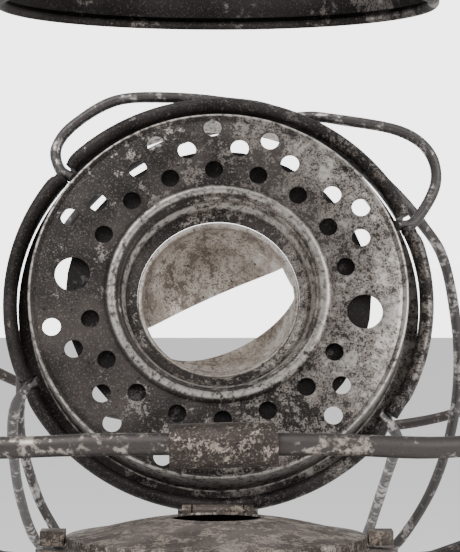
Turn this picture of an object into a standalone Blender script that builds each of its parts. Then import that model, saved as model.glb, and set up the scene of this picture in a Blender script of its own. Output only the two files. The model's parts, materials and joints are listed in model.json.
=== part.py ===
"""Hanging lantern of worn tinned steel, with its globe out and its globe basket tilted open.

Metres, +Z up. The front faces -Y and the lantern's own axis is the Z axis.
The basket is modelled closed, in the frame of its hinge, and then tilted back by one parent empty.
"""
import math

import bmesh
import bpy
from mathutils import Matrix, Vector

# Driving dimensions
CHAMBER_TOP_Z = 0.1044      # shoulder of the burner chamber, where the closed globe plate sits
GLOBE_GAP = 0.1150          # from that shoulder to the canopy's rim: a short 4 1/2 inch globe
FOUNT_R = 0.072
FOUNT_H = 0.0535
TUBE_X = 0.078              # side tubes' centre lines
TUBE_R = 0.008
CHAMBER_R = 0.037
DOME_R = 0.0327
RIM_R = 0.0485              # canopy's rim
CHIMNEY_R = 0.0218
PLATE_R = 0.0473            # globe plate
PLATE_LIFT = 0.0040         # plate's underside over the hinge's axis when closed
RING_R = 0.0540             # basket ring, outside
HINGE_Y = 0.0560
OPEN_TILT = math.radians(107.0)
SHEET = 0.0005
GAP = 0.0003
SIDES = (("left", -1), ("right", 1))

# Dependent sizes
RIM_Z = CHAMBER_TOP_Z + GLOBE_GAP
FLANGE_Z = CHAMBER_TOP_Z - 0.0039
HINGE_Z = CHAMBER_TOP_Z - 0.0009
TUBE_LOW_Z = FLANGE_Z - 0.009
CROWN_Z = RIM_Z + 0.045
CROWN_H = 0.026
CROWN_R = 0.034
CAP_Z = CROWN_Z + CROWN_H + 0.010

# Burner
COLLAR_R = 0.0210
BURNER_R = 0.0150
BURNER_TOP_Z = 0.0765
WICK_SIZE = (0.015, 0.0022)
SHAFT_R = 0.0010
SPROCKET_R = 0.0022
SHAFT_Y = -(WICK_SIZE[1] / 2 + SPROCKET_R + GAP)
SHAFT_Z = 0.067
KNOB_X = FOUNT_R + 0.008

# Wires
BAIL_WIRE_R = 0.0015
LIFT_WIRE_R = 0.00215
GUARD_WIRE_R = 0.0014
STUD_R = 0.0018
STUD_X = TUBE_X + TUBE_R + 0.0045
CARRY_Z = RIM_Z + 0.0006
LIFT_Z = RIM_Z - 0.0794

RIM_BEAD_R = 0.0013
RING_BEAD_R = 0.0018
RING_BEAD_Z = 0.007         # ring's bead over the plate's underside
BAFFLE_R = 0.0381
BAFFLE_Z = 0.0025
CONE_R = 0.0200
LEDGE_Z = 0.0060
CONE_H = 0.0160
SLOT_TURN = math.radians(25.0)
BEAD_R = 0.0266             # centre line of the plate's pressed bead
AIR_HOLE_R = 0.0023
LOCK_HOLE_R = 0.0044


# ---------------------------------------------------------------- helpers
def clear_scene():
    for obj in list(bpy.data.objects):
        bpy.data.objects.remove(obj, do_unlink=True)


def material(name, colour, roughness, metallic):
    mat = bpy.data.materials.new(name)
    mat.use_nodes = True
    shader = mat.node_tree.nodes["Principled BSDF"]
    shader.inputs["Base Color"].default_value = (*colour, 1.0)
    shader.inputs["Roughness"].default_value = roughness
    shader.inputs["Metallic"].default_value = metallic
    return mat


DARK_STEEL = ((0.075, 0.065, 0.060), 0.50, 0.85)
WORN_TIN = ((0.26, 0.23, 0.20), 0.42, 0.90)
WIRE_STEEL = ((0.12, 0.115, 0.115), 0.40, 0.90)
COTTON = ((0.62, 0.56, 0.44), 0.95, 0.0)


def finish(obj, look):
    obj.data.materials.append(material(obj.name + "_look", *look))
    return obj


def as_mesh(obj, look):
    """The same object with its curve and modifiers turned into a plain mesh."""
    name = obj.name
    bpy.context.view_layer.update()
    graph = bpy.context.evaluated_depsgraph_get()
    mesh = bpy.data.meshes.new_from_object(obj.evaluated_get(graph))
    bpy.data.objects.remove(obj, do_unlink=True)
    mesh.materials.clear()
    return finish(link(name, mesh), look)


def link(name, data):
    obj = bpy.data.objects.new(name, data)
    bpy.context.scene.collection.objects.link(obj)
    return obj


def mesh_object(name, bm, look=None, smooth=True):
    bmesh.ops.recalc_face_normals(bm, faces=bm.faces)
    mesh = bpy.data.meshes.new(name)
    bm.to_mesh(mesh)
    bm.free()
    if smooth:
        mesh.shade_smooth()
        mesh.set_sharp_from_angle(angle=math.radians(35.0))
    obj = link(name, mesh)
    return finish(obj, look) if look else obj


def turned(name, outline, look=None, steps=48, axis=(0, 0, 1)):
    """Solid of revolution about Z from a closed outline of (radius, height) points."""
    bm = bmesh.new()
    verts = [bm.verts.new((r, 0, z)) for r, z in outline]
    edges = [bm.edges.new((verts[i], verts[(i + 1) % len(verts)])) for i in range(len(verts))]
    bmesh.ops.spin(bm, geom=verts + edges, axis=(0, 0, 1), cent=(0, 0, 0), steps=steps,
                   angle=math.tau, use_merge=True, use_duplicate=False)
    bmesh.ops.remove_doubles(bm, verts=bm.verts, dist=1e-6)
    bmesh.ops.dissolve_degenerate(bm, edges=bm.edges, dist=1e-7)
    if tuple(axis) != (0, 0, 1):
        turn = Vector((0, 0, 1)).rotation_difference(Vector(axis)).to_matrix()
        bmesh.ops.rotate(bm, verts=bm.verts, cent=(0, 0, 0), matrix=turn)
    return mesh_object(name, bm, look)


def sheet(points, thickness=SHEET):
    """Closed outline of a bent sheet: the points, then the same line offset to its left."""
    flat = [Vector(p) for p in points]
    inner = []
    for i, point in enumerate(flat):
        before = flat[max(i - 1, 0)]
        after = flat[min(i + 1, len(flat) - 1)]
        first = (point - before).normalized() if i else (after - point).normalized()
        second = (after - point).normalized() if i < len(flat) - 1 else first
        middle = (first + second).normalized()
        normal = Vector((-middle.y, middle.x))
        stretch = 1.0 / max(normal.dot(Vector((-first.y, first.x))), 0.5)
        shifted = point + normal * thickness * stretch
        shifted.x = max(shifted.x, 0.0) if point.x > 1e-9 else 0.0
        inner.append(shifted)
    return [tuple(p) for p in flat] + [tuple(p) for p in reversed(inner)]


def arc(centre, radius, start, end, steps):
    """Points on an arc in the outline's plane, angles in degrees."""
    angles = [math.radians(start + (end - start) * i / steps) for i in range(steps + 1)]
    return [(centre[0] + radius * math.cos(a), centre[1] + radius * math.sin(a)) for a in angles]


def box(name, low, high, look=None):
    bm = bmesh.new()
    bmesh.ops.create_cube(bm, size=1.0)
    size = Vector(high) - Vector(low)
    centre = (Vector(high) + Vector(low)) / 2
    bmesh.ops.scale(bm, vec=size, verts=bm.verts)
    bmesh.ops.translate(bm, vec=centre, verts=bm.verts)
    return mesh_object(name, bm, look, smooth=False)


def rod(name, radius, start, end, look=None, steps=14):
    """Plain cylinder from start to end."""
    line = Vector(end) - Vector(start)
    obj = turned(name, [(0, 0), (radius, 0), (radius, line.length), (0, line.length)], look, steps,
                 line.normalized())
    obj.location = start
    return obj


def joined(name, objects, look, smooth=True):
    """One object of several separate solids, with their placement written into the mesh."""
    bm = bmesh.new()
    for obj in objects:
        bpy.context.view_layer.update()
        copy = obj.data.copy()
        copy.transform(obj.matrix_world)
        bm.from_mesh(copy)
        bpy.data.meshes.remove(copy)
        bpy.data.objects.remove(obj, do_unlink=True)
    return mesh_object(name, bm, look, smooth)


def cutter(obj):
    obj.hide_render = True
    obj.display_type = 'WIRE'
    return obj


def boolean(obj, operation, tool):
    """Adds an exact Boolean; the tool stays as a hidden guide."""
    step = obj.modifiers.new(operation.lower() + "_" + tool.name, 'BOOLEAN')
    step.operation = operation
    step.object = cutter(tool)
    return obj


def smooth_line(points, samples):
    """Catmull-Rom line through 3-D points, sampled evenly between each pair."""
    pts = [Vector(p) for p in points]
    pts = [2 * pts[0] - pts[1]] + pts + [2 * pts[-1] - pts[-2]]
    line = []
    for i in range(1, len(pts) - 2):
        a, b, c, d = pts[i - 1:i + 3]
        for k in range(samples):
            t = k / samples
            line.append(0.5 * (2 * b + (c - a) * t + (2 * a - 5 * b + 4 * c - d) * t ** 2
                               + (3 * b - a - 3 * c + d) * t ** 3))
    return line + [pts[-2]]


def wire(name, line, radius, look, resolution=2, wall=None):
    """Round wire along a line of points, or a tube when a wall thickness is given."""
    curve = bpy.data.curves.new(name, 'CURVE')
    curve.dimensions = '3D'
    curve.bevel_depth = radius
    curve.bevel_resolution = resolution
    curve.use_fill_caps = wall is None
    spline = curve.splines.new('POLY')
    spline.points.add(len(line) - 1)
    for point, place in zip(spline.points, line):
        point.co = (*place, 1.0)
    spline.use_smooth = True
    obj = link(name, curve)
    if wall:
        step = obj.modifiers.new("wall", 'SOLIDIFY')
        step.thickness = wall
        step.offset = -1.0
        step.use_even_offset = True
    return finish(obj, look)


# ---------------------------------------------------------------- fount and burner
def make_fount():
    filler = (0.048, -0.020)
    outline = sheet([(0, 0), (FOUNT_R - 0.002, 0), (FOUNT_R, 0.002), (FOUNT_R, 0.036),
                     (FOUNT_R - 0.0015, 0.041), (FOUNT_R - 0.006, 0.045), (0.040, FOUNT_H - 0.002),
                     (COLLAR_R + 0.001, FOUNT_H)], SHEET)
    fount = turned("fount", outline, DARK_STEEL, 40)
    neck_r = 0.009
    hole = rod("filler_hole", neck_r + GAP, (*filler, FOUNT_H - 0.025), (*filler, FOUNT_H + 0.02), steps=20)
    boolean(fount, 'DIFFERENCE', hole)
    neck = turned("filler_neck", [(neck_r, -0.008), (neck_r, 0.006), (neck_r - SHEET, 0.006),
                                  (neck_r - SHEET, -0.008)], WORN_TIN, 20)
    neck.location = (*filler, FOUNT_H - 0.002)
    cap_r = neck_r + GAP
    cap = turned("filler_cap", [(0, 0.0075), (cap_r, 0.0075), (cap_r + 0.001, 0.0065),
                                (cap_r + 0.001, 0.001), (cap_r, 0.001), (cap_r, 0.0065), (0, 0.0065)],
                 WORN_TIN, 20)
    cap.location = (*filler, FOUNT_H - 0.002)


def make_burner():
    base_z = FOUNT_H + GAP
    turned("burner_collar", [(BURNER_R + GAP, base_z), (COLLAR_R + 0.002, base_z),
                             (COLLAR_R + 0.002, base_z + 0.0025), (BURNER_R + GAP, base_z + 0.0035)],
           WORN_TIN, 24)
    low_z = base_z - 0.004
    body = turned("burner_body", sheet([(BURNER_R, low_z), (BURNER_R, BURNER_TOP_Z - 0.001),
                                        (BURNER_R - 0.001, BURNER_TOP_Z), (0, BURNER_TOP_Z)], SHEET),
                  WORN_TIN, 24)
    tube_size = (WICK_SIZE[0] + 0.0018, WICK_SIZE[1] + 0.0018)
    boolean(body, 'DIFFERENCE', slab("wick_slot", tube_size, BURNER_TOP_Z - 0.004, BURNER_TOP_Z + 0.004, GAP))
    boolean(body, 'DIFFERENCE', rod("shaft_hole", SHAFT_R + GAP, (0.005, SHAFT_Y, SHAFT_Z),
                                    (BURNER_R + 0.01, SHAFT_Y, SHAFT_Z)))
    top_z = CHAMBER_TOP_Z + 0.0005
    tube = slab("wick_tube", tube_size, BURNER_TOP_Z - 0.006, top_z, 0.0)
    finish(tube, WORN_TIN)
    boolean(tube, 'DIFFERENCE', slab("wick_bore", WICK_SIZE, BURNER_TOP_Z - 0.02, top_z + 0.02, GAP))
    wick = slab("wick", WICK_SIZE, 0.020, top_z - 0.001, 0.0)
    finish(wick, COTTON)


def slab(name, size, low_z, high_z, grow):
    """Upright bar on the axis, size in X and Y, grown on its sides."""
    half_x = size[0] / 2 + grow
    half_y = size[1] / 2 + grow
    return box(name, (-half_x, -half_y, low_z), (half_x, half_y, high_z))


def make_wick_drive():
    """Shaft with two sprockets against the wick, and the knob on its outer end."""
    outline = [(0, -0.0065)]
    for centre in (-0.004, 0.004):
        outline += [(SHAFT_R, centre - 0.0006), (SPROCKET_R, centre - 0.0006),
                    (SPROCKET_R, centre + 0.0006), (SHAFT_R, centre + 0.0006)]
    outline.insert(1, (SHAFT_R, -0.0065))
    outline += [(SHAFT_R, KNOB_X), (0, KNOB_X)]
    shaft = turned("wick_shaft", outline, WORN_TIN, 12, (1, 0, 0))
    shaft.location = (0, SHAFT_Y, SHAFT_Z)
    knob_r = 0.009
    knob = turned("wick_knob", [(0, 0), (knob_r - 0.001, 0), (knob_r, 0.0008), (knob_r, 0.0022),
                                (knob_r - 0.001, 0.003), (0, 0.003)], WORN_TIN, 20, (1, 0, 0))
    knob.location = (KNOB_X + GAP, SHAFT_Y, SHAFT_Z)


# ---------------------------------------------------------------- frame
def make_chamber():
    low_z = BURNER_TOP_Z + 0.002
    turned("air_chamber", sheet([(BURNER_R + 0.0015, low_z), (CHAMBER_R - 0.0015, low_z),
                                 (CHAMBER_R, low_z + 0.0015), (CHAMBER_R, FLANGE_Z - SHEET),
                                 (CHAMBER_R + 0.0025, FLANGE_Z - SHEET)]), DARK_STEEL, 36)
    flange_low = FLANGE_Z + GAP + SHEET
    cap_r = 0.027
    rise = 0.0037
    crown = [(cap_r * f, CHAMBER_TOP_Z + rise * (1 - f * f)) for f in (1.0, 0.82, 0.60, 0.38)]
    outline = sheet([(CHAMBER_R + 0.0022, flange_low), (DOME_R, flange_low),
                     (DOME_R, CHAMBER_TOP_Z - 0.0003)] + crown)
    turned("chamber_dome", outline, WORN_TIN, 40)
    for label, side in SIDES:
        inner = side * (DOME_R + GAP)
        outer = side * (DOME_R + 0.0056)
        low = (min(inner, outer), -0.0035, flange_low + GAP)
        high = (max(inner, outer), 0.0035, CHAMBER_TOP_Z + 0.0003)
        box("chamber_clip_" + label, low, high, WORN_TIN)


def make_side_tube(name, side):
    """Air tube: out of the chamber, up the side and into the crown chamber."""
    low_bend = 0.038
    high_bend = 0.026
    high_z = CROWN_Z + CROWN_H / 2
    low_x = TUBE_X - low_bend
    line = [(CHAMBER_R - 0.004, TUBE_LOW_Z)]
    line += arc((low_x, TUBE_LOW_Z + low_bend), low_bend, -90, 0, 7)
    line += arc((TUBE_X - high_bend, high_z - high_bend), high_bend, 0, 90, 6)
    line.append((CROWN_R - 0.004, high_z))
    tube = wire(name, [(side * x, 0, z) for x, z in line], TUBE_R, DARK_STEEL, 3, SHEET)
    tube = as_mesh(tube, DARK_STEEL)
    boolean(tube, 'DIFFERENCE', rod(name + "_foot_trim", CHAMBER_R + GAP, (0, 0, TUBE_LOW_Z - 0.02),
                                    (0, 0, TUBE_LOW_Z + 0.02), steps=40))
    boolean(tube, 'DIFFERENCE', rod(name + "_head_trim", CROWN_R + GAP, (0, 0, high_z - 0.02),
                                    (0, 0, high_z + 0.02), steps=40))


def make_crown():
    top_z = CROWN_Z + CROWN_H
    bore = CHIMNEY_R + GAP
    turned("crown_chamber", sheet([(bore, CROWN_Z), (CROWN_R - 0.001, CROWN_Z), (CROWN_R, CROWN_Z + 0.001),
                                   (CROWN_R, top_z - 0.001), (CROWN_R - 0.001, top_z), (bore, top_z)]),
           DARK_STEEL, 32)
    collar_r = CHIMNEY_R + GAP + SHEET
    outer = [(collar_r, RIM_Z + 0.031), (collar_r, RIM_Z + 0.0245), (0.026, RIM_Z + 0.0225),
             (0.034, RIM_Z + 0.0185), (0.042, RIM_Z + 0.0125), (0.0468, RIM_Z + 0.006)]
    bead = arc((RIM_R - RIM_BEAD_R, RIM_Z), RIM_BEAD_R, 70, -200, 6)
    inner = [(r - SHEET * 0.8, z - SHEET * 0.6) for r, z in reversed(outer[2:])]
    inner += [(collar_r - SHEET, RIM_Z + 0.0235), (collar_r - SHEET, RIM_Z + 0.031)]
    turned("canopy", outer + bead + inner, DARK_STEEL, 40)
    seat_z = top_z + GAP
    turned("chimney", [(CHIMNEY_R, RIM_Z + 0.0245), (CHIMNEY_R, seat_z), (CHIMNEY_R + 0.003, seat_z),
                       (CHIMNEY_R + 0.003, seat_z + 0.0008), (CHIMNEY_R, seat_z + 0.0008),
                       (CHIMNEY_R, CAP_Z), (CHIMNEY_R - SHEET, CAP_Z), (CHIMNEY_R - SHEET, RIM_Z + 0.0245)],
           DARK_STEEL, 32)
    cap_r = 0.030
    cap_rise = 0.013
    skirt = [(cap_r, CAP_Z - 0.0005)]
    dome = [(cap_r * math.cos(math.radians(a)), CAP_Z + 0.002 + cap_rise * math.sin(math.radians(a)))
            for a in (0, 25, 50, 75)]
    turned("crown_cap", sheet(skirt + dome + [(0, CAP_Z + 0.002 + cap_rise)]), DARK_STEEL, 32)
    for k in range(3):
        post = box("cap_post_%d" % (k + 1), (-0.0006, -0.0025, CAP_Z + GAP), (0.0006, 0.0025, CAP_Z + 0.0098),
                   DARK_STEEL)
        post.data.transform(Matrix.Rotation(math.tau * k / 3, 4, 'Z') @ Matrix.Translation((CHIMNEY_R - 0.001, 0, 0)))
    knob_z = CAP_Z + 0.002 + cap_rise + GAP
    turned("crown_knob", [(0, knob_z), (0.003, knob_z), (0.0024, knob_z + 0.003), (0.0055, knob_z + 0.0055),
                          (0.0055, knob_z + 0.0075), (0.003, knob_z + 0.0095), (0, knob_z + 0.010)],
           WORN_TIN, 24)


# ---------------------------------------------------------------- bails
def make_studs(name, height):
    """A headed stud on the outside of each side tube."""
    foot = TUBE_X + TUBE_R + GAP
    for label, side in SIDES:
        head_r = STUD_R + 0.002
        length = STUD_X - foot + LIFT_WIRE_R + 0.0006
        outline = [(0, 0), (STUD_R, 0), (STUD_R, length), (head_r, length), (head_r, length + 0.0012),
                   (0, length + 0.0012)]
        stud = turned(name + "_" + label, outline, WIRE_STEEL, 20, (side, 0, 0))
        stud.location = (side * foot, 0, height)


def eye(side, radius, start, end, steps=9):
    """Wire's end curled round a stud: points in the bail's plane frame, x across, y along, z out."""
    turn = [math.radians(start + (end - start) * k / steps) for k in range(steps + 1)]
    return [Vector((side * STUD_X, radius * math.cos(a), radius * math.sin(a))) for a in turn]


def make_bail(name, half_left, half_right, wire_r, height, direction, hump, resolution):
    """A bail hung on two studs, lying along a direction in the YZ plane.

    Each half is a list of (across, along) points from its stud's side to the middle.
    """
    loop_r = STUD_R + 0.0001 + wire_r
    left = [Vector((-x, v, hump(x))) for x, v in half_left]
    right = [Vector((x, v, hump(x))) for x, v in half_right]
    body = smooth_line(left + list(reversed(right)), 3)
    line = eye(-1, loop_r, 350, 90) + body + list(reversed(eye(1, loop_r, 350, 90)))
    curve = wire(name, line, wire_r, WIRE_STEEL, resolution)
    along = Vector((0, *direction)).normalized()
    out = Vector((1, 0, 0)).cross(along)
    frame = Matrix((Vector((1, 0, 0)), along, out)).transposed().to_4x4()
    curve.matrix_world = Matrix.Translation((0, 0, height)) @ frame
    return curve


def make_bails():
    make_studs("bail_stud", CARRY_Z)
    make_studs("lift_stud", LIFT_Z)
    loop_r = STUD_R + 0.0001 + BAIL_WIRE_R
    arm = [(STUD_X, 0.012), (STUD_X, 0.060), (0.089, 0.120)]
    left = arm + [(0.078, 0.160), (0.063, 0.183), (0.045, 0.201), (0.022, 0.214)]
    right = arm + [(0.087, 0.176), (0.080, 0.198), (0.066, 0.212), (0.046, 0.220), (0.020, 0.222)]
    offset = lambda x: loop_r * max(0.0, 1 - abs(abs(x) / STUD_X - 1) * 8)
    make_bail("carry_bail", left, right, BAIL_WIRE_R, CARRY_Z, (0.180, -0.0972), offset, 2)
    lift_r = STUD_R + 0.0001 + LIFT_WIRE_R
    bow = [(STUD_X, 0.010), (0.0885, 0.024), (0.080, 0.043), (0.066, 0.058), (0.044, 0.0685), (0.020, 0.0728)]
    drop = lambda x: lift_r * max(0.0, 1 - abs(abs(x) / STUD_X - 1) * 5) + 0.0020 * min(1, (x / 0.042) ** 2)
    bail = make_bail("lift_bail", bow, bow, LIFT_WIRE_R, LIFT_Z, (-0.0735, -0.0117), lambda x: drop(x), 2)
    return bail


def make_sleeve():
    """Rolled tin sleeve that turns loosely on the front wire."""
    outer = 0.0043
    half = 0.0103
    outline = [(outer, -half), (outer, half), (outer - 0.0007, half), (outer - 0.0007, -half)]
    sleeve = turned("bail_sleeve", outline, WORN_TIN, 20, (1, 0, 0))
    sleeve.rotation_euler = (0, math.radians(-1.6), 0)
    sleeve.location = (0.0017, -0.0724, LIFT_Z - 0.0120)


# ---------------------------------------------------------------- basket
def hinge_frame():
    """Empty on the hinge's axis; its children are modelled closed and it tilts them open."""
    empty = link("basket_tilt", None)
    empty.location = (0, HINGE_Y, HINGE_Z)
    empty.rotation_euler = (-OPEN_TILT, 0, 0)
    return empty


def seat(obj, parent):
    """Moves an object built about the plate's centre into the hinge's frame."""
    obj.parent = parent
    obj.location = (0, -HINGE_Y, PLATE_LIFT)
    return obj


GUARD_NOTCHES = (math.radians(323.8), math.radians(138.6), math.radians(205.2), math.radians(23.7))


def around(azimuth, height, radius):
    """Point of the closed basket: azimuth from +X towards the lantern's front."""
    a = math.radians(azimuth)
    return Vector((radius * math.cos(a), -radius * math.sin(a), height))


# Each guard wire as (azimuth, height over the plate, radius), from the notch it starts at
RIGHT_GUARD = ((-36.2, 0.0070, 0.0490), (-36.2, 0.0098, 0.0527), (-36.2, 0.0180, 0.0558), (-36.5, 0.0300, 0.0560),
               (-39, 0.0600, 0.0565), (-43, 0.0900, 0.0578), (-46, 0.1060, 0.0593), (-44, 0.1118, 0.0625),
               (-40, 0.1080, 0.0656), (-27, 0.0980, 0.0662), (-15, 0.0820, 0.0660), (-3, 0.0700, 0.0655),
               (8, 0.0570, 0.0646), (20, 0.0420, 0.0636), (28, 0.0300, 0.0600), (40, 0.0240, 0.0572),
               (57, 0.0210, 0.0560), (75, 0.0165, 0.0562), (90, 0.0130, 0.0556), (103, 0.0105, 0.0572),
               (116, 0.0095, 0.0606), (128, 0.0095, 0.0606), (135, 0.0105, 0.0590), (138.6, 0.0098, 0.0540),
               (138.6, 0.0070, 0.0490))
LEFT_GUARD = ((205.2, 0.0070, 0.0490), (205.2, 0.0098, 0.0527), (205.4, 0.0180, 0.0565), (207.5, 0.0350, 0.0600),
              (211.5, 0.0700, 0.0640), (217, 0.0980, 0.0665), (221, 0.1100, 0.0662), (223.5, 0.1118, 0.0635),
              (222.4, 0.1075, 0.0612), (211, 0.0980, 0.0597), (198, 0.0800, 0.0577), (187.7, 0.0700, 0.0548),
              (174, 0.0600, 0.0535), (158, 0.0500, 0.0520), (144, 0.0420, 0.0508), (130, 0.0350, 0.0500),
              (116, 0.0290, 0.0498), (102, 0.0240, 0.0502), (90, 0.0200, 0.0508), (76, 0.0160, 0.0528),
              (66, 0.0125, 0.0560), (58, 0.0105, 0.0585), (45, 0.0098, 0.0655), (37, 0.0100, 0.0675),
              (30, 0.0105, 0.0640), (23.7, 0.0100, 0.0545), (23.7, 0.0070, 0.0490))


def make_guard(name, stops, parent):
    """Bent guard wire: up from its notch, round a hairpin at the rear, and down across the front."""
    points = [around(*stop) for stop in stops]
    return seat(wire(name, smooth_line(points, 2), GUARD_WIRE_R, WIRE_STEEL, 2), parent)


def make_ring(parent):
    bead_r = RING_R - RING_BEAD_R
    wall_top = RING_BEAD_Z + 0.0072
    skirt = bead_r - 0.0007
    outline = [(skirt + SHEET, wall_top)] + arc((bead_r, RING_BEAD_Z), RING_BEAD_R, 95, -190, 7)
    outline += [(skirt - GAP, wall_top)]
    ring = turned("basket_ring", outline, DARK_STEEL, 44)
    for k, azimuth in enumerate(GUARD_NOTCHES):
        notch = box("notch_%d" % k, (-0.0018, -0.0060, RING_BEAD_Z - 0.0016), (0.0018, 0.0060, wall_top + 0.002))
        notch.data.transform(Matrix.Rotation(-azimuth - math.pi / 2, 4, 'Z')
                             @ Matrix.Translation((0, bead_r + 0.0010, 0)))
        boolean(ring, 'DIFFERENCE', seat(notch, parent))
    seat(ring, parent)


def hole_circle(radius, degrees):
    return [(radius * math.cos(math.radians(a)), -radius * math.sin(math.radians(a))) for a in degrees]


def make_plate(parent):
    """Perforated globe plate with its central bead, inner funnel and turned-up edge."""
    bead = arc((BEAD_R, 0.0), 0.0017, 0, -180, 4)
    flare_r = RING_R - 2 * RING_BEAD_R + 0.0002
    outer = [(flare_r, 0.0132), (PLATE_R, 0.0125), (PLATE_R, 0.0002), (PLATE_R - 0.0004, -0.0003),
             (0.0462, 0.0004), (0.0448, 0.0), (0.0290, 0.0)]
    inner = [(0.0244, 0.0002), (0.0238, 0.0012), (0.0226, 0.0040), (0.0216, LEDGE_Z - 0.0003), (CONE_R + GAP, LEDGE_Z)]
    outline = sheet(outer + bead + inner, -SHEET)
    plate = turned("globe_plate", outline, WORN_TIN, 40)
    pitch = 20.0
    gaps = (172, 352)
    inner_ring = [12 + pitch * k for k in range(18) if 12 + pitch * k not in gaps]
    middle_ring = [22 + pitch * k for k in range(17) if 22 + pitch * k < 155 or 190 < 22 + pitch * k < 235
                   or 22 + pitch * k == 322]
    outer_ring = [32 + 2 * pitch * k for k in range(8) if k != 6]
    places = hole_circle(0.0324, inner_ring) + hole_circle(0.0384, middle_ring) + hole_circle(0.0421, outer_ring)
    places += hole_circle(0.0436, (92, 252))
    cutters = [rod("hole", AIR_HOLE_R, (x, y, -0.004), (x, y, 0.004), steps=8)
               for x, y in places]
    cutters += [rod("hole", LOCK_HOLE_R, (x, y, -0.004), (x, y, 0.004), steps=12)
                for x, y in hole_circle(0.0366, (172.4, -7.6))]
    holes = joined("plate_holes", cutters, None)
    boolean(plate, 'DIFFERENCE', seat(holes, parent))
    seat(plate, parent)
    baffle = turned("baffle_disc", [(CONE_R + 0.0048, BAFFLE_Z), (BAFFLE_R, BAFFLE_Z),
                                    (BAFFLE_R, BAFFLE_Z + SHEET), (CONE_R + 0.0048, BAFFLE_Z + SHEET)],
                    WORN_TIN, 40)
    seat(baffle, parent)


def make_cone(parent):
    """Flame cone: a tall dome with a wide flame slot across its top."""
    dome_r = CONE_R - 0.0008
    dome = [(dome_r * math.cos(math.radians(a)), LEDGE_Z + 0.0006 + CONE_H * math.sin(math.radians(a)))
            for a in (0, 18, 36, 55, 75)]
    outline = sheet([(CONE_R, LEDGE_Z)] + dome + [(0, LEDGE_Z + 0.0006 + CONE_H)], -SHEET)
    cone = turned("burner_cone", outline, WORN_TIN, 40)
    half_long = 0.0225
    half_wide = 0.0078
    bm = bmesh.new()
    steps = 24
    rim = []
    for k in range(steps):
        a = math.tau * k / steps
        x = max(-0.0188, min(0.0188, half_long * math.cos(a)))
        rim.append(bm.verts.new((x, half_wide * math.sin(a) + 0.0022, LEDGE_Z + 0.0025)))
    face = bm.faces.new(rim)
    grown = bmesh.ops.extrude_face_region(bm, geom=[face])
    top = [v for v in grown["geom"] if isinstance(v, bmesh.types.BMVert)]
    bmesh.ops.translate(bm, vec=(0, 0, 0.03), verts=top)
    bmesh.ops.rotate(bm, verts=bm.verts, cent=(0, 0, 0), matrix=Matrix.Rotation(-SLOT_TURN, 3, 'Z'))
    bmesh.ops.remove_doubles(bm, verts=bm.verts, dist=1e-5)
    slot = mesh_object("flame_slot", bm, None, smooth=False)
    boolean(cone, 'DIFFERENCE', seat(slot, parent))
    seat(cone, parent)


def make_hinge(parent):
    """Rear hinge: bracket on the chamber's flange, pin, and the basket's knuckle and strap."""
    pin_r = 0.0009
    barrel_r = 0.0017
    half = 0.0060
    reach = half + 0.0004 + 0.0022
    rod("hinge_pin", pin_r, (-reach - 0.001, HINGE_Y, HINGE_Z), (reach + 0.001, HINGE_Y, HINGE_Z), WIRE_STEEL)
    knuckle = rod("hinge_knuckle", barrel_r, (-half, 0, 0), (half, 0, 0), WORN_TIN)
    ring_gap = HINGE_Y - RING_R - GAP
    strap = box("strap", (-half, -ring_gap, 0.001), (half, -ring_gap + 0.0008, RING_BEAD_Z + PLATE_LIFT + 0.003))
    bore = rod("knuckle_bore", pin_r + 0.0001, (-half - 0.002, 0, 0), (half + 0.002, 0, 0))
    for piece in (knuckle, strap, bore):
        piece.parent = parent
    boolean(knuckle, 'UNION', strap)
    boolean(knuckle, 'DIFFERENCE', bore)
    base_z = FLANGE_Z + 2 * GAP + 2 * SHEET
    bracket = box("hinge_bracket", (-reach, DOME_R + 0.001, base_z), (reach, DOME_R + 0.006, base_z + 0.0016), WORN_TIN)
    for side in (-1, 1):
        near = side * (half + 0.0004)
        far = side * reach
        arm = box("arm", (min(near, far), DOME_R + 0.004, base_z), (max(near, far), HINGE_Y, base_z + 0.0016))
        boolean(bracket, 'UNION', arm)
        lug = rod("lug", barrel_r, (near, HINGE_Y, HINGE_Z), (far, HINGE_Y, HINGE_Z))
        boolean(bracket, 'UNION', lug)
    boolean(bracket, 'DIFFERENCE', rod("bracket_bore", pin_r + 0.0001, (-0.02, HINGE_Y, HINGE_Z), (0.02, HINGE_Y, HINGE_Z)))


def main():
    clear_scene()
    make_fount()
    make_burner()
    make_wick_drive()
    make_chamber()
    make_side_tube("side_tube_left", -1)
    make_side_tube("side_tube_right", 1)
    make_crown()
    make_bails()
    make_sleeve()
    basket = hinge_frame()
    make_ring(basket)
    make_plate(basket)
    make_cone(basket)
    make_guard("guard_wire_right", RIGHT_GUARD, basket)
    make_guard("guard_wire_left", LEFT_GUARD, basket)
    make_hinge(basket)


main()
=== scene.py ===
"""Looks of the hanging lantern: worn tinned sheet, blackened steel wire and a pale studio set."""
import json
import math

import bmesh
import bpy
from mathutils import Matrix, Vector


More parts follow.
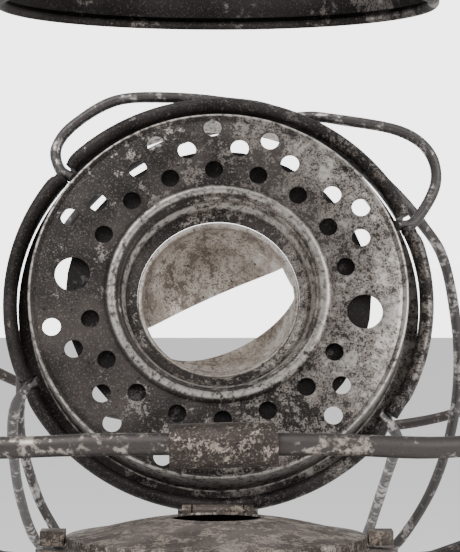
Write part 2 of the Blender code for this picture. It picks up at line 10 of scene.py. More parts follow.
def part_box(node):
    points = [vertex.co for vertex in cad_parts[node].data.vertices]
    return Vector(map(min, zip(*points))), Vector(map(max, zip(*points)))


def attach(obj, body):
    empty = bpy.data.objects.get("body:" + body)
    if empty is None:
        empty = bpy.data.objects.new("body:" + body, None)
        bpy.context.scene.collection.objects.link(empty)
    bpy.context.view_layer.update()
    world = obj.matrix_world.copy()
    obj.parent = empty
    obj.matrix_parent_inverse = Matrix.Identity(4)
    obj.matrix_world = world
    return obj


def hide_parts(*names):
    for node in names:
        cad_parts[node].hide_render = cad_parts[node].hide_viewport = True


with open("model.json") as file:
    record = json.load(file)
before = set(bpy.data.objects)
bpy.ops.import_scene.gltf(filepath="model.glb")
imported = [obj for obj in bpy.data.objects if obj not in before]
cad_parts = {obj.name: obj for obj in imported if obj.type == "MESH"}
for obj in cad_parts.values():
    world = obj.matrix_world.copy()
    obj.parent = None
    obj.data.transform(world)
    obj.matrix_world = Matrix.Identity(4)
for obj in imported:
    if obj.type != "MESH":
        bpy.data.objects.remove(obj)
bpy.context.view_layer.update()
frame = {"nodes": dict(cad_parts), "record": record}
JOINTS = {joint["name"]: joint for joint in frame["record"]["behaviour"]["joints"]}

# Places read from the frame
HINGE = Vector(JOINTS["basket_tilt"]["pos_m"])
OPEN_TILT = math.radians(JOINTS["basket_tilt"]["range_deg"][1])
LIFT_Z = JOINTS["front_bail_swing"]["pos_m"][2]
CARRY_Z = JOINTS["carry_bail_swing"]["pos_m"][2]
SLEEVE_AT = Vector(JOINTS["sleeve_spin"]["pos_m"])
SLEEVE_AXIS = Vector(JOINTS["sleeve_spin"]["axis"]).normalized()
CANOPY_LOW, CANOPY_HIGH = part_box("canopy")
DOME_LOW, DOME_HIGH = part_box("chamber_dome")
STUD_LOW, STUD_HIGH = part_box("lift_stud_right")
SLEEVE_LOW, SLEEVE_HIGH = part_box("bail_sleeve")

# Sizes that the finished pieces share with the frame
SHEET = 0.0005
GAP = 0.0003
PLATE_R = 0.0473
PLATE_LIFT = 0.0040
RING_R = 0.0540
BEAD_R = 0.0266
CHAMBER_TOP_Z = HINGE.z + 0.0009
RING_BEAD_R = 0.0018
RING_BEAD_Z = 0.007
CONE_R = 0.0200
CONE_H = 0.0160
LEDGE_Z = 0.0060
SLOT_TURN = math.radians(25.0)
AIR_HOLE_R = 0.0023
LOCK_HOLE_R = 0.0044
GUARD_WIRE_R = 0.0014
LIFT_WIRE_R = 0.00215
BAIL_WIRE_R = 0.0015
STUD_R = 0.0018
STUD_X = 0.0905
RIM_R = CANOPY_HIGH[0]
RIM_BEAD_R = 0.0013
RIM_Z = CANOPY_LOW[2] + RIM_BEAD_R
NOTCHES = (323.8, 138.6, 205.2, 23.7)

# Camera and surround
CAMERA_LENS = 164.7
CAMERA_X = 0.0029
CAMERA_AWAY = 0.550
CAMERA_OVER_HINGE = 0.0565
WORLD_LIGHT = 0.9
WORLD_SEEN = 4.0


# ---------------------------------------------------------------- materials
def srgb(code):
    """Linear colour of a hex sRGB code."""
    parts = [int(code[i:i + 2], 16) / 255 for i in (1, 3, 5)]
    return tuple(p / 12.92 if p <= 0.04045 else ((p + 0.055) / 1.055) ** 2.4 for p in parts) + (1.0,)


class Graph:
    """A material's node graph, with one short method for each kind of node."""

    def __init__(self, name):
        self.mat = bpy.data.materials.new(name)
        self.mat.use_nodes = True
        self.nodes = self.mat.node_tree.nodes
        self.shader = self.nodes["Principled BSDF"]
        self.coords = self.nodes.new("ShaderNodeTexCoord").outputs["Object"]

    def wire(self, source, socket):
        if isinstance(source, bpy.types.NodeSocket):
            self.mat.node_tree.links.new(source, socket)
        else:
            socket.default_value = source

    def noise(self, size_mm, detail=5.0, rough=0.55, at=None, stretch=None):
        vector = at or self.coords
        if stretch:
            mapping = self.nodes.new("ShaderNodeMapping")
            self.wire(vector, mapping.inputs["Vector"])
            mapping.inputs["Scale"].default_value = stretch
            vector = mapping.outputs["Vector"]
        node = self.nodes.new("ShaderNodeTexNoise")
        self.wire(vector, node.inputs["Vector"])
        node.inputs["Scale"].default_value = 1000.0 / size_mm
        node.inputs["Detail"].default_value = detail
        node.inputs["Roughness"].default_value = rough
        return node.outputs["Fac"]

    def spots(self, size_mm, at=None):
        node = self.nodes.new("ShaderNodeTexVoronoi")
        self.wire(at or self.coords, node.inputs["Vector"])
        node.inputs["Scale"].default_value = 1000.0 / size_mm
        return node.outputs["Distance"]

    def math(self, kind, a, b=0.0, c=0.0):
        node = self.nodes.new("ShaderNodeMath")
        node.operation = kind
        for value, socket in zip((a, b, c), node.inputs):
            self.wire(value, socket)
        return node.outputs[0]

    def step(self, value, low, high):
        """0 below low and 1 above high, smooth between."""
        node = self.nodes.new("ShaderNodeMapRange")
        node.interpolation_type = 'SMOOTHSTEP'
        self.wire(value, node.inputs["Value"])
        node.inputs["From Min"].default_value = low
        node.inputs["From Max"].default_value = high
        return node.outputs["Result"]

    def mix(self, amount, a, b):
        node = self.nodes.new("ShaderNodeMix")
        node.data_type = 'RGBA'
        self.wire(amount, node.inputs["Factor"])
        self.wire(a, node.inputs[6])
        self.wire(b, node.inputs[7])
        return node.outputs[2]

    def blend(self, amount, a, b):
        node = self.nodes.new("ShaderNodeMix")
        node.data_type = 'FLOAT'
        self.wire(amount, node.inputs["Factor"])
        self.wire(a, node.inputs[2])
        self.wire(b, node.inputs[3])
        return node.outputs[0]

    def split(self, vector):
        node = self.nodes.new("ShaderNodeSeparateXYZ")
        self.wire(vector, node.inputs[0])
        return node.outputs

    def closed_basket(self):
        """Coordinates turned with the basket back to its closed place, where its plate is level."""
        node = self.nodes.new("ShaderNodeVectorRotate")
        node.rotation_type = 'AXIS_ANGLE'
        self.wire(self.coords, node.inputs["Vector"])
        node.inputs["Center"].default_value = HINGE
        node.inputs["Axis"].default_value = (1, 0, 0)
        node.inputs["Angle"].default_value = OPEN_TILT
        return node.outputs["Vector"]

    def radius(self, vector):
        x, y, _ = self.split(vector)
        squares = self.math('ADD', self.math('MULTIPLY', x, x), self.math('MULTIPLY', y, y))
        return self.math('SQRT', squares)

    def band(self, value, centre, half):
        """1 within half of centre, falling smoothly to 0 just outside."""
        away = self.math('ABSOLUTE', self.math('SUBTRACT', value, centre))
        return self.math('SUBTRACT', 1.0, self.step(away, half * 0.4, half))

    def finish(self, colour, roughness, metallic, height, depth_mm):
        bump = self.nodes.new("ShaderNodeBump")
        bump.inputs["Strength"].default_value = 0.55
        bump.inputs["Distance"].default_value = depth_mm / 1000.0
        self.wire(height, bump.inputs["Height"])
        self.wire(bump.outputs["Normal"], self.shader.inputs["Normal"])
        self.wire(colour, self.shader.inputs["Base Color"])
        self.wire(roughness, self.shader.inputs["Roughness"])
        self.wire(metallic, self.shader.inputs["Metallic"])
        return self.mat


def worn_metal(name, dark, mid, bare, bright, wear=0.5, patch_mm=9.0, slope=0.0, rings=(), metallic=0.8):
    """Oxidised tinned steel: dark film, worn bare patches with ragged edges, pits and fine speckle.

    slope raises the worn mask towards +X, so the finish is paler to that side; rings are (radius, half
    width) bands on the basket painted bright: painted highlights along rims and bead, broken up like worn
    edges.
    """
    g = Graph(name)
    basket = g.closed_basket() if rings else g.coords
    broad = g.noise(patch_mm, 7.0, 0.62)
    ragged = g.noise(patch_mm * 0.22, 8.0, 0.72)
    fine = g.noise(0.45, 4.0, 0.6)
    film = g.noise(patch_mm * 2.2, 4.0, 0.5)
    worn = g.math('ADD', g.math('MULTIPLY', broad, 0.55), g.math('MULTIPLY', ragged, 0.45))
    # Raises the worn mask with X, so bare patches grow more common and the finish is paler towards +X.
    worn = g.math('ADD', worn, g.math('MULTIPLY', g.split(g.coords)[0], slope))
    line = 0.62 - 0.24 * wear
    bare_mask = g.step(worn, line, line + 0.035)
    scuff = g.math('MULTIPLY', bare_mask, g.step(fine, 0.40, 0.52))
    pits = g.math('SUBTRACT', 1.0, g.step(g.spots(1.9), 0.10, 0.22))
    pits = g.math('MULTIPLY', pits, g.step(g.noise(4.0, 3.0), 0.50, 0.60))
    colour = g.mix(g.step(film, 0.38, 0.64), srgb(dark), srgb(mid))
    colour = g.mix(g.math('MULTIPLY', g.step(fine, 0.52, 0.66), 0.35), colour, srgb(bare))
    colour = g.mix(g.math('MULTIPLY', scuff, 0.85), colour, srgb(bare))
    colour = g.mix(g.math('MULTIPLY', g.step(worn, line + 0.07, line + 0.16), 0.7), colour, srgb(bright))
    shine = bare_mask
    if rings:
        r = g.radius(basket)
        for centre, half in rings:
            # Painted highlight: bright bands at rim and bead radii stand for light glancing off them,
            # broken up by ragged noise like worn edges.
            painted_rim_highlight = g.math('MULTIPLY', g.band(r, centre, half), g.step(ragged, 0.36, 0.56))
            colour = g.mix(g.math('MULTIPLY', painted_rim_highlight, 0.8), colour, srgb(bright))
            shine = g.math('MAXIMUM', shine, painted_rim_highlight)
    colour = g.mix(g.math('MULTIPLY', pits, 0.85), colour, srgb("#1d1816"))
    roughness = g.blend(shine, 0.52, 0.34)
    roughness = g.math('ADD', roughness, g.math('MULTIPLY', fine, 0.10))
    height = g.math('ADD', g.math('MULTIPLY', ragged, 0.6), g.math('MULTIPLY', fine, 0.25))
    height = g.math('SUBTRACT', height, g.math('MULTIPLY', pits, 0.6))
    return g.finish(colour, roughness, metallic, height, 0.12)


def wire_metal(name, dark, bright, amount=0.5):
    """Drawn steel wire, dark with scraped bright streaks."""
    g = Graph(name)
    broad = g.noise(7.0, 6.0, 0.6)
    ragged = g.noise(1.6, 7.0, 0.7)
    fine = g.noise(0.4, 4.0)
    worn = g.math('ADD', g.math('MULTIPLY', broad, 0.5), g.math('MULTIPLY', ragged, 0.5))
    mask = g.step(worn, 0.60 - 0.16 * amount, 0.66 - 0.14 * amount)
    colour = g.mix(mask, srgb(dark), srgb(bright))
    colour = g.mix(g.math('MULTIPLY', g.step(fine, 0.55, 0.70), 0.5), colour, srgb("#2a2523"))
    roughness = g.blend(mask, 0.50, 0.34)
    height = g.math('ADD', g.math('MULTIPLY', ragged, 0.6), g.math('MULTIPLY', fine, 0.3))
    return g.finish(colour, roughness, 0.8, height, 0.10)


def cotton(name):
    """Woven wick: ribs along its length and soft fuzz."""
    g = Graph(name)
    ribs = g.noise(0.9, 3.0, 0.5, stretch=(1.0, 1.0, 0.15))
    weave = g.noise(0.5, 4.0, 0.6)
    colour = g.mix(ribs, srgb("#8d7f66"), srgb("#cbbd9f"))
    colour = g.mix(g.math('MULTIPLY', weave, 0.4), colour, srgb("#5a4c3a"))
    return g.finish(colour, 0.95, 0.0, g.math('ADD', ribs, weave), 0.3)


def all_materials():
    return {
        # The radius bands in the plate and cone entries are painted highlights on the plate rim, bead,
        # funnel and cone foot, broken up like worn edges.
        "plate": worn_metal("worn_plate", "#2e2a28", "#4e4845", "#98908a", "#d2cbc4", 0.50, 7.0, 2.2,
                            ((0.0472, 0.0007), (0.0266, 0.0012), (0.0236, 0.0006)), 0.72),
        "cone": worn_metal("bright_tin", "#6b6058", "#94897f", "#c3b8ad", "#e6dfd7", 0.74, 6.0, 1.5,
                           ((0.0200, 0.0006),), 0.80),
        "ring": worn_metal("dark_ring", "#242120", "#393534", "#7b746f", "#bdb6b0",
                           0.32, 6.0, 1.2, (), 0.75),
        "shell": worn_metal("blackened_sheet", "#252221", "#3a3635", "#827a75", "#c0b9b3",
                            0.32, 11.0, 0.8, (), 0.75),
        "dome": worn_metal("chamber_tin", "#4a4340", "#6f6762", "#b9ada2", "#efe9e2",
                           0.50, 5.0, 0.0, (), 0.75),
        # Baffle disc finish: much darker than the plate, painted shade standing for the dim gap behind
        # the plate's holes.
        "baffle": worn_metal("baffle_sheet_painted_shade", "#1f1d1c", "#2e2b2a", "#5a5553", "#868180",
                             0.36, 8.0, 0.0, (), 0.70),
        "small": worn_metal("small_tin", "#3d3734", "#635b55", "#9e9184", "#cfc4b8",
                            0.48, 4.0, 0.0, (), 0.78),
        "sleeve": worn_metal("sleeve_tin", "#3a3431", "#57504b", "#a2968b", "#d5cbc0",
                             0.40, 4.5, 0.0, (), 0.72),
        "wire": wire_metal("scraped_wire", "#4b4644", "#a79d94", 0.50),
        "guard": wire_metal("guard_steel", "#565352", "#b4aeaa", 0.55),
        "wick": cotton("cotton_wick"),
    }


# ---------------------------------------------------------------- mesh helpers
def show(name, mesh, mat, body, *nodes):
    """Adds a finished piece that rides a body and stands for CAD nodes."""
    obj = bpy.data.objects.new(name, mesh)
    bpy.context.scene.collection.objects.link(obj)
    mesh.materials.clear()
    mesh.materials.append(mat)
    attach(obj, body)
    if nodes:
        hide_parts(*nodes)
    return obj


def baked(mesh, modifiers=(), place=None):
    """Plain mesh after place and modifiers, which are (kind, settings) pairs."""
    if place is not None:
        mesh.transform(place)
    temp = bpy.data.objects.new("temp", mesh)
    bpy.context.scene.collection.objects.link(temp)
    for kind, settings in modifiers:
        step = temp.modifiers.new(kind.lower(), kind)
        for key, value in settings.items():
            setattr(step, key, value)
    bpy.context.view_layer.update()
    result = bpy.data.meshes.new_from_object(temp.evaluated_get(bpy.context.evaluated_depsgraph_get()))
    bpy.data.objects.remove(temp, do_unlink=True)
    return result


def to_mesh(bm, name, angle=35.0):
    bmesh.ops.recalc_face_normals(bm, faces=bm.faces)
    mesh = bpy.data.meshes.new(name)
    bm.to_mesh(mesh)
    bm.free()
    mesh.shade_smooth()
    mesh.set_sharp_from_angle(angle=math.radians(angle))
    return mesh


def turned(name, outline, steps):
    """Mesh of revolution about Z from a closed outline of (radius, height) points."""
    bm = bmesh.new()
    verts = [bm.verts.new((r, 0, z)) for r, z in outline]
    edges = [bm.edges.new((verts[i], verts[(i + 1) % len(verts)])) for i in range(len(verts))]
    bmesh.ops.spin(bm, geom=verts + edges, axis=(0, 0, 1), cent=(0, 0, 0), steps=steps,
                   angle=math.tau, use_merge=True, use_duplicate=False)
    bmesh.ops.remove_doubles(bm, verts=bm.verts, dist=1e-6)
    return to_mesh(bm, name)


def sheet(points, thickness=SHEET):
    """Closed outline of a bent sheet: the points, then the same line offset to its left."""
    flat = [Vector(p) for p in points]
    inner = []
    for i, point in enumerate(flat):
        before = flat[max(i - 1, 0)]
        after = flat[min(i + 1, len(flat) - 1)]
        first = (point - before).normalized() if i else (after - point).normalized()
        second = (after - point).normalized() if i < len(flat) - 1 else first
        middle = (first + second).normalized()
        normal = Vector((-middle.y, middle.x))
        stretch = 1.0 / max(normal.dot(Vector((-first.y, first.x))), 0.5)
        shifted = point + normal * thickness * stretch
        shifted.x = max(shifted.x, 0.0) if point.x > 1e-9 else 0.0
        inner.append(shifted)
    return [tuple(p) for p in flat] + [tuple(p) for p in reversed(inner)]


def arc(centre, radius, start, end, steps):
    angles = [math.radians(start + (end - start) * i / steps) for i in range(steps + 1)]
    return [(centre[0] + radius * math.cos(a), centre[1] + radius * math.sin(a)) for a in angles]


def smooth_line(points, samples):
    """Catmull-Rom line through points of any size, sampled evenly between each pair."""
    pts = [Vector(p) for p in points]
    pts = [2 * pts[0] - pts[1]] + pts + [2 * pts[-1] - pts[-2]]
    line = []
    for i in range(1, len(pts) - 2):
        a, b, c, d = pts[i - 1:i + 3]
        for k in range(samples):
            t = k / samples
            line.append(0.5 * (2 * b + (c - a) * t + (2 * a - 5 * b + 4 * c - d) * t ** 2
                               + (3 * b - a - 3 * c + d) * t ** 3))
    return line + [pts[-2]]


def curve_wire(name, line, radius, place):
    """Mesh of a round wire with domed, slightly uneven thickness along a line."""
    curve = bpy.data.curves.new(name, 'CURVE')
    curve.dimensions = '3D'
    curve.bevel_depth = radius
    curve.bevel_resolution = 6
    curve.use_fill_caps = True
    spline = curve.splines.new('POLY')
    spline.points.add(len(line) - 1)
    for k, (point, at) in enumerate(zip(spline.points, line)):
        point.co = (*at, 1.0)
        point.radius = 1.0 + 0.02 * math.sin(k * 0.9) + 0.015 * math.sin(k * 0.37 + 1.0)
    spline.use_smooth = True
    obj = bpy.data.objects.new(name, curve)
    bpy.context.scene.collection.objects.link(obj)
    bpy.context.view_layer.update()
    mesh = bpy.data.meshes.new_from_object(obj.evaluated_get(bpy.context.evaluated_depsgraph_get()))
    bpy.data.objects.remove(obj, do_unlink=True)
    mesh.transform(place)
    mesh.shade_smooth()
    return mesh


def cut(mesh, *tools):
    """Mesh with each tool mesh subtracted by an exact Boolean."""
    for tool in tools:
        obj = bpy.data.objects.new("tool", tool)
        bpy.context.scene.collection.objects.link(obj)
        mesh = baked(mesh, [('BOOLEAN', {"operation": 'DIFFERENCE', "object": obj})])
        bpy.data.objects.remove(obj, do_unlink=True)
    mesh.shade_smooth()
    mesh.set_sharp_from_angle(angle=math.radians(35.0))
    return mesh


def drum(radius, low, high, x, y, steps=28):
    """Closed upright cylinder, used as a cutting tool."""
    mesh = turned("drum", [(0, low), (radius, low), (radius, high), (0, high)], steps)
    mesh.transform(Matrix.Translation((x, y, 0)))
    return mesh


def merged(meshes):
    bm = bmesh.new()
    for mesh in meshes:
        bm.from_mesh(mesh)
        bpy.data.meshes.remove(mesh)
    return to_mesh(bm, "merged")


def basket_place():
    """Takes a piece built about the closed plate's centre to the open basket."""
    return (Matrix.Translation(HINGE) @ Matrix.Rotation(-OPEN_TILT, 4, 'X')
            @ Matrix.Translation((0, -HINGE.y, PLATE_LIFT)))


# ---------------------------------------------------------------- basket pieces
def hole_circle(radius, degrees):
    return [(radius * math.cos(math.radians(a)), -radius * math.sin(math.radians(a))) for a in degrees]


def finished_plate(mats):
    """Globe plate with rolled bead, stepped funnel, shallow outer step and every hole."""
    bead = arc((BEAD_R, 0.0), 0.0017, 0, -180, 12)
    outer = [(RING_R - 2 * RING_BEAD_R + 0.0002, 0.0132), (PLATE_R + 0.0001, 0.0124), (PLATE_R, 0.0006)]
    outer += arc((PLATE_R - 0.0005, 0.0002), 0.0005, 0, -90, 4)
    outer += [(0.0464, 0.0000), (0.0458, 0.0005), (0.0448, 0.0), (0.0300, 0.0), (0.0290, -0.0001)]
    funnel = [(0.0245, 0.0002), (0.0240, 0.0014), (0.0234, 0.0026), (0.0231, 0.0040),
              (0.0222, 0.0050), (0.0212, 0.0055), (CONE_R + GAP, LEDGE_Z)]
    mesh = turned("plate", sheet(outer + bead + funnel, -SHEET), 160)
    pitch = 20
    inner_ring = [12 + pitch * k for k in range(18) if 12 + pitch * k not in (172, 352)]
    middle_ring = [22 + pitch * k for k in range(17)
                   if 22 + pitch * k < 155 or 190 < 22 + pitch * k < 235
                   or 22 + pitch * k == 322]
    outer_ring = [32 + 2 * pitch * k for k in range(8) if k != 6]
    places = hole_circle(0.0324, inner_ring) + hole_circle(0.0384, middle_ring)
    places += hole_circle(0.0421, outer_ring) + hole_circle(0.0436, (92, 252))
    tools = [drum(AIR_HOLE_R, -0.004, 0.004, x, y) for x, y in places]
    tools += [drum(LOCK_HOLE_R, -0.004, 0.004, x, y, 40) for x, y in hole_circle(0.0366, (172.4, -7.6))]
    mesh = cut(mesh, merged(tools))
    mesh.transform(basket_place())
    show("globe_plate_finish", mesh, mats["plate"], "basket", "globe_plate")


def slot_tool():
    half_long = 0.0225
    half_wide = 0.0078
    bm = bmesh.new()
    rim = []
    for k in range(96):
        a = math.tau * k / 96
        x = max(-0.0188, min(0.0188, half_long * math.cos(a)))
        rim.append(bm.verts.new((x, half_wide * math.sin(a) + 0.0022, LEDGE_Z + 0.0025)))
    bmesh.ops.remove_doubles(bm, verts=bm.verts, dist=1e-5)
    face = bm.faces.new(bm.verts)
    grown = bmesh.ops.extrude_face_region(bm, geom=[face])
    top = [v for v in grown["geom"] if isinstance(v, bmesh.types.BMVert)]
    bmesh.ops.translate(bm, vec=(0, 0, 0.03), verts=top)
    bmesh.ops.rotate(bm, verts=bm.verts, cent=(0, 0, 0), matrix=Matrix.Rotation(-SLOT_TURN, 3, 'Z'))
    return to_mesh(bm, "slot")


def finished_cone(mats):
    """Flame cone with pressed steps round its foot."""
    dome_r = CONE_R - 0.0008
    dome = [(dome_r * math.cos(math.radians(a)), LEDGE_Z + 0.0006 + CONE_H * math.sin(math.radians(a)))
            for a in range(0, 88, 4)]
    outline = sheet([(CONE_R, LEDGE_Z)] + dome + [(0, LEDGE_Z + 0.0006 + CONE_H)], -SHEET)
    mesh = cut(turned("cone", outline, 128), slot_tool())
    mesh.transform(basket_place())
    show("burner_cone_finish", mesh, mats["cone"], "basket", "burner_cone")


def finished_ring(mats):
    """Basket ring, pinched in where the guard wires are clinched through it."""
    bead_r = RING_R - RING_BEAD_R
    wall_top = RING_BEAD_Z + 0.0072
    skirt = bead_r - 0.0007
    outline = [(skirt + SHEET, wall_top)] + arc((bead_r, RING_BEAD_Z), RING_BEAD_R, 95, -190, 20)
    outline += [(skirt - GAP, wall_top)]
    mesh = turned("ring", outline, 240)
    for v in mesh.vertices:
        azimuth = math.degrees(math.atan2(-v.co.y, v.co.x))
        for k, notch in enumerate(NOTCHES):
            away = (azimuth - notch + 180) % 360 - 180
            dent = math.exp(-(away / 2.4) ** 2) + 0.35 * math.exp(-((away - 5 + 3 * k) / 1.6) ** 2)
            if v.co.z < RING_BEAD_Z + 0.001:
                v.co.xy *= 1 - 0.024 * dent
                v.co.z += 0.0007 * dent
        v.co.z += 0.00025 * math.sin(math.radians(azimuth * 3 + 40))
    tools = []
    for notch in NOTCHES:
        bm = bmesh.new()
        bmesh.ops.create_cube(bm, size=1.0)
        bmesh.ops.scale(bm, vec=(0.0034, 0.012, 0.0105), verts=bm.verts)
        turn = Matrix.Rotation(-math.radians(notch) - math.pi / 2, 4, 'Z')
        place = turn @ Matrix.Translation((0, bead_r + 0.0010, RING_BEAD_Z + 0.0036))
        bmesh.ops.transform(bm, matrix=place, verts=bm.verts)
        tools.append(to_mesh(bm, "notch"))
    mesh = cut(mesh, *tools)
    mesh.transform(basket_place())
    show("basket_ring_finish", mesh, mats["ring"], "basket", "basket_ring")


def around(azimuth, height, radius):
    a = math.radians(azimuth)
    return Vector((radius * math.cos(a), -radius * math.sin(a), height))


# Each guard wire as (azimuth, height over the plate, radius), from the notch it starts at
RIGHT_GUARD = (
    (-36.2, 0.0070, 0.0490), (-36.2, 0.0098, 0.0527), (-36.2, 0.0180, 0.0558),
    (-36.5, 0.0300, 0.0560), (-39, 0.0600, 0.0565), (-43, 0.0900, 0.0578),
    (-46, 0.1060, 0.0593), (-44, 0.1118, 0.0625), (-40, 0.1080, 0.0656),
    (-27, 0.0980, 0.0662), (-15, 0.0820, 0.0660), (-3, 0.0700, 0.0655),
    (8, 0.0570, 0.0646), (20, 0.0420, 0.0636), (28, 0.0300, 0.0600),
    (40, 0.0240, 0.0572), (57, 0.0210, 0.0560), (75, 0.0165, 0.0562),
    (90, 0.0130, 0.0556), (103, 0.0105, 0.0572), (116, 0.0095, 0.0606),
    (128, 0.0095, 0.0606), (135, 0.0105, 0.0590), (138.6, 0.0098, 0.0540),
    (138.6, 0.0070, 0.0490),
)
LEFT_GUARD = (
    (205.2, 0.0070, 0.0490), (205.2, 0.0098, 0.0527), (205.4, 0.0180, 0.0565),
    (207.5, 0.0350, 0.0600), (211.5, 0.0700, 0.0640), (217, 0.0980, 0.0665),
    (221, 0.1100, 0.0662), (223.5, 0.1118, 0.0635), (222.4, 0.1075, 0.0612),
    (211, 0.0980, 0.0597), (198, 0.0800, 0.0577), (187.7, 0.0700, 0.0548),
    (174, 0.0600, 0.0535), (158, 0.0500, 0.0520), (144, 0.0420, 0.0508),
    (130, 0.0350, 0.0500), (116, 0.0290, 0.0498), (102, 0.0240, 0.0502),
    (90, 0.0200, 0.0508), (76, 0.0160, 0.0528), (66, 0.0125, 0.0560),
    (58, 0.0105, 0.0585), (45, 0.0098, 0.0655), (37, 0.0100, 0.0675),
    (30, 0.0105, 0.0640), (23.7, 0.0100, 0.0545), (23.7, 0.0070, 0.0490),
)


def finished_guard(mats, node, stops):
    """One guard wire: up from its notch, round the rear hairpin and down across the front."""
    points = [around(*stop) for stop in stops]
    mesh = curve_wire(node, smooth_line(points, 7), GUARD_WIRE_R, basket_place())
    show(node + "_finish", mesh, mats["guard"], "basket", node)


# ---------------------------------------------------------------- bails
def eye(side, radius, steps=24):
    turn = [math.radians(350 - 260 * k / steps) for k in range(steps + 1)]
    return [Vector((side * STUD_X, radius * math.cos(a), radius * math.sin(a))) for a in turn]


def bail_mesh(name, half_left, half_right, wire_r, height, direction, hump):
    loop_r = STUD_R + 0.0001 + wire_r
    left = [Vector((-x, v, hump(x))) for x, v in half_left]
    right = [Vector((x, v, hump(x))) for x, v in half_right]
    body = smooth_line(left + list(reversed(right)), 8)
    line = eye(-1, loop_r) + body + list(reversed(eye(1, loop_r)))
    along = Vector((0, *direction)).normalized()
    out = Vector((1, 0, 0)).cross(along)
    turn = Matrix((Vector((1, 0, 0)), along, out)).transposed().to_4x4()
    return curve_wire(name, line, wire_r, Matrix.Translation((0, 0, height)) @ turn)


def finished_bails(mats):
    loop_r = STUD_R + 0.0001 + BAIL_WIRE_R
    arm = [(STUD_X, 0.012), (STUD_X, 0.060), (0.089, 0.120)]
    left = arm + [(0.078, 0.160), (0.063, 0.183), (0.045, 0.201), (0.022, 0.214)]
    right = arm + [(0.087, 0.176), (0.080, 0.198), (0.066, 0.212), (0.046, 0.220), (0.020, 0.222)]
    mesh = bail_mesh("carry", left, right, BAIL_WIRE_R, CARRY_Z, (0.180, -0.0972),
                     lambda x: loop_r * max(0.0, 1 - abs(abs(x) / STUD_X - 1) * 8))
    show("carry_bail_finish", mesh, mats["wire"], "carry_handle", "carry_bail")
    lift_r = STUD_R + 0.0001 + LIFT_WIRE_R
    bow = [(STUD_X, 0.010), (0.0885, 0.024), (0.080, 0.043),
           (0.066, 0.058), (0.044, 0.0685), (0.020, 0.0728)]
    mesh = bail_mesh("lift", bow, bow, LIFT_WIRE_R, LIFT_Z, (-0.0735, -0.0117),
                     lambda x: (lift_r * max(0.0, 1 - abs(abs(x) / STUD_X - 1) * 5)
                                + 0.0020 * min(1, (x / 0.042) ** 2)))
    show("lift_bail_finish", mesh, mats["wire"], "front_bail", "lift_bail")


def finished_sleeve(mats):
    """Rolled tin sleeve with a lapped seam along its lower front."""
    outer = 0.0043
    wall = 0.0007
    half = (SLEEVE_HIGH[0] - SLEEVE_LOW[0]) / 2 - 0.00012
    steps = 72
    bm = bmesh.new()
    rings = []
    stations = (-half, -half + 0.0002, -half * 0.5, 0.0, half * 0.5, half - 0.0002, half)
    for x in stations:
        ring = []
        for k in range(steps + 1):
            a = math.radians(-118 + 362 * k / steps)
            lap = 0.0003 * max(0.0, (k - steps * 0.88) / (steps * 0.12))
            chamfer = 0.0001 if abs(x) == half else 0.0
            r = outer + lap - chamfer
            ring.append(bm.verts.new((x, r * math.cos(a), r * math.sin(a))))
        for k in range(steps, -1, -1):
            a = math.radians(-118 + 362 * k / steps)
            lap = 0.0003 * max(0.0, (k - steps * 0.88) / (steps * 0.12))
            r = outer - wall + lap
            ring.append(bm.verts.new((x, r * math.cos(a), r * math.sin(a))))
        rings.append(ring)
    count = len(rings[0])
    for first, second in zip(rings, rings[1:]):
        for k in range(count):
            bm.faces.new((first[k], first[(k + 1) % count], second[(k + 1) % count], second[k]))
    for ring in (rings[0], rings[-1]):
        for k in range(count // 2 - 1):
            bm.faces.new((ring[k], ring[k + 1], ring[count - 2 - k], ring[count - 1 - k]))
    mesh = to_mesh(bm, "sleeve")
    turn = Vector((1, 0, 0)).rotation_difference(SLEEVE_AXIS).to_matrix().to_4x4()
    mesh.transform(Matrix.Translation(SLEEVE_AT) @ turn)
    show("bail_sleeve_finish", mesh, mats["sleeve"], "sleeve", "bail_sleeve")


# ---------------------------------------------------------------- canopy and chamber
def finished_canopy(mats):
    collar_r = 0.0226
    line = [(collar_r, RIM_Z + 0.031), (collar_r, RIM_Z + 0.0250)]
    line += [tuple(p) for p in smooth_line([(collar_r + 0.0006, RIM_Z + 0.0240), (0.026, RIM_Z + 0.0225),
                                            (0.034, RIM_Z + 0.0185), (0.042, RIM_Z + 0.0125),
                                            (0.0468, RIM_Z + 0.006), (0.0478, RIM_Z + 0.0018)], 6)]
    inner = [(r - SHEET * 0.8, z - SHEET * 0.6) for r, z in reversed(line[2:])]
    inner += [(collar_r - SHEET, RIM_Z + 0.0235), (collar_r - SHEET, RIM_Z + 0.031)]
    bead = arc((RIM_R - RIM_BEAD_R, RIM_Z), RIM_BEAD_R, 62, -196, 18)
    mesh = turned("canopy", line + bead + inner, 160)
    show("canopy_finish", mesh, mats["shell"], "crown", "canopy")


def finished_dome(mats):
    top = DOME_HIGH[2]
    low = DOME_LOW[2]
    dome_r = 0.0327
    cap_r = 0.027
    rise = 0.0037
    shoulder = CHAMBER_TOP_Z
    crown = [(cap_r * f, shoulder + rise * (1 - f * f))
             for f in (1.0, 0.95, 0.9, 0.82, 0.72, 0.60, 0.48, 0.38)]
    wall = [(0.0392, low), (dome_r + 0.0006, low), (dome_r, low + 0.0006), (dome_r, shoulder - 0.0009)]
    outline = sheet(wall + crown)
    mesh = turned("dome", outline, 128)
    show("chamber_dome_finish", mesh, mats["dome"], "frame", "chamber_dome")


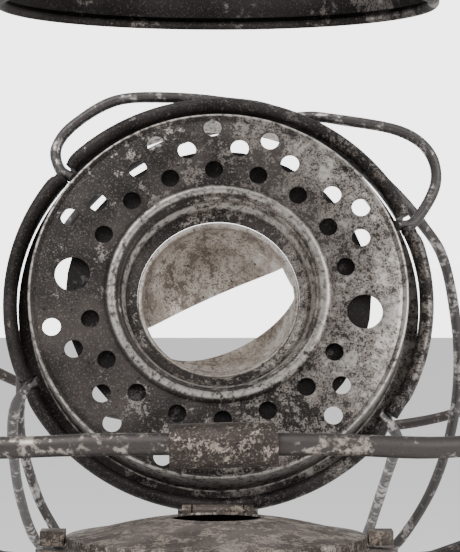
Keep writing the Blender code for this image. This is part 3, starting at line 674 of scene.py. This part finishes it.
def dress_nodes(mats):
    """Gives every CAD node that stays its own worn finish."""
    looks = {
        "shell": ("fount", "air_chamber", "side_tube_left", "side_tube_right", "crown_chamber", "chimney",
                  "crown_cap", "cap_post_1", "cap_post_2", "cap_post_3"),
        "small": ("filler_neck", "filler_cap", "burner_collar", "burner_body", "wick_tube", "wick_shaft",
                  "wick_knob", "chamber_clip_left", "chamber_clip_right", "crown_knob", "hinge_bracket",
                  "hinge_knuckle"),
        "wire": ("bail_stud_left", "bail_stud_right", "lift_stud_left", "lift_stud_right", "hinge_pin"),
        "baffle": ("baffle_disc",),
        "wick": ("wick",),
    }
    for look, nodes in looks.items():
        for node in nodes:
            for slot in frame["nodes"][node].material_slots:
                slot.material = mats[look]


# ---------------------------------------------------------------- set
def white_set():
    """Pale floor, white surround and large soft lamps."""
    mesh = bpy.data.meshes.new("floor")
    bm = bmesh.new()
    bmesh.ops.create_grid(bm, x_segments=1, y_segments=1, size=6.0)
    bm.to_mesh(mesh)
    bm.free()
    floor = bpy.data.objects.new("floor", mesh)
    bpy.context.scene.collection.objects.link(floor)
    g = Graph("pale_floor")
    mesh.materials.append(g.finish(srgb("#f4f4f4"), 0.9, 0.0, g.noise(40.0), 0.01))
    world = bpy.data.worlds.new("white_surround")
    world.use_nodes = True
    world.node_tree.nodes["Background"].inputs["Color"].default_value = (1, 1, 1, 1)
    strength_by_ray(world.node_tree, WORLD_LIGHT, WORLD_SEEN)
    bpy.context.scene.world = world
    add_lamp("key", (-0.5, -0.7, 1.3), (0, 0, 0.16), 0.9, 14.0)
    add_lamp("fill", (0.9, -0.6, 0.7), (0, 0, 0.16), 0.7, 7.0)


def strength_by_ray(tree, lighting, seen):
    """Background strength that is higher where the camera looks straight at it."""
    path = tree.nodes.new("ShaderNodeLightPath")
    pick = tree.nodes.new("ShaderNodeMapRange")
    pick.inputs["To Min"].default_value = lighting
    pick.inputs["To Max"].default_value = seen
    tree.links.new(path.outputs["Is Camera Ray"], pick.inputs["Value"])
    tree.links.new(pick.outputs["Result"], tree.nodes["Background"].inputs["Strength"])


def add_lamp(name, place, aim, size, power):
    lamp = bpy.data.lights.new(name, 'AREA')
    lamp.size = size
    lamp.energy = power
    obj = bpy.data.objects.new(name, lamp)
    bpy.context.scene.collection.objects.link(obj)
    obj.location = place
    obj.rotation_euler = (Vector(aim) - Vector(place)).to_track_quat('-Z', 'Y').to_euler()


def front_camera():
    """Level camera in front of the lantern's axis, at the globe plate's height."""
    data = bpy.data.cameras.new("front")
    data.lens = CAMERA_LENS
    data.sensor_width = 36.0
    camera = bpy.data.objects.new("front", data)
    bpy.context.scene.collection.objects.link(camera)
    camera.location = (CAMERA_X, -CAMERA_AWAY, HINGE.z + CAMERA_OVER_HINGE)
    camera.rotation_euler = (math.pi / 2, 0, 0)
    bpy.context.scene.camera = camera


def main():
    mats = all_materials()
    dress_nodes(mats)
    finished_plate(mats)
    finished_cone(mats)
    finished_ring(mats)
    finished_guard(mats, "guard_wire_right", RIGHT_GUARD)
    finished_guard(mats, "guard_wire_left", LEFT_GUARD)
    finished_bails(mats)
    finished_sleeve(mats)
    finished_canopy(mats)
    finished_dome(mats)
    white_set()
    front_camera()


main()
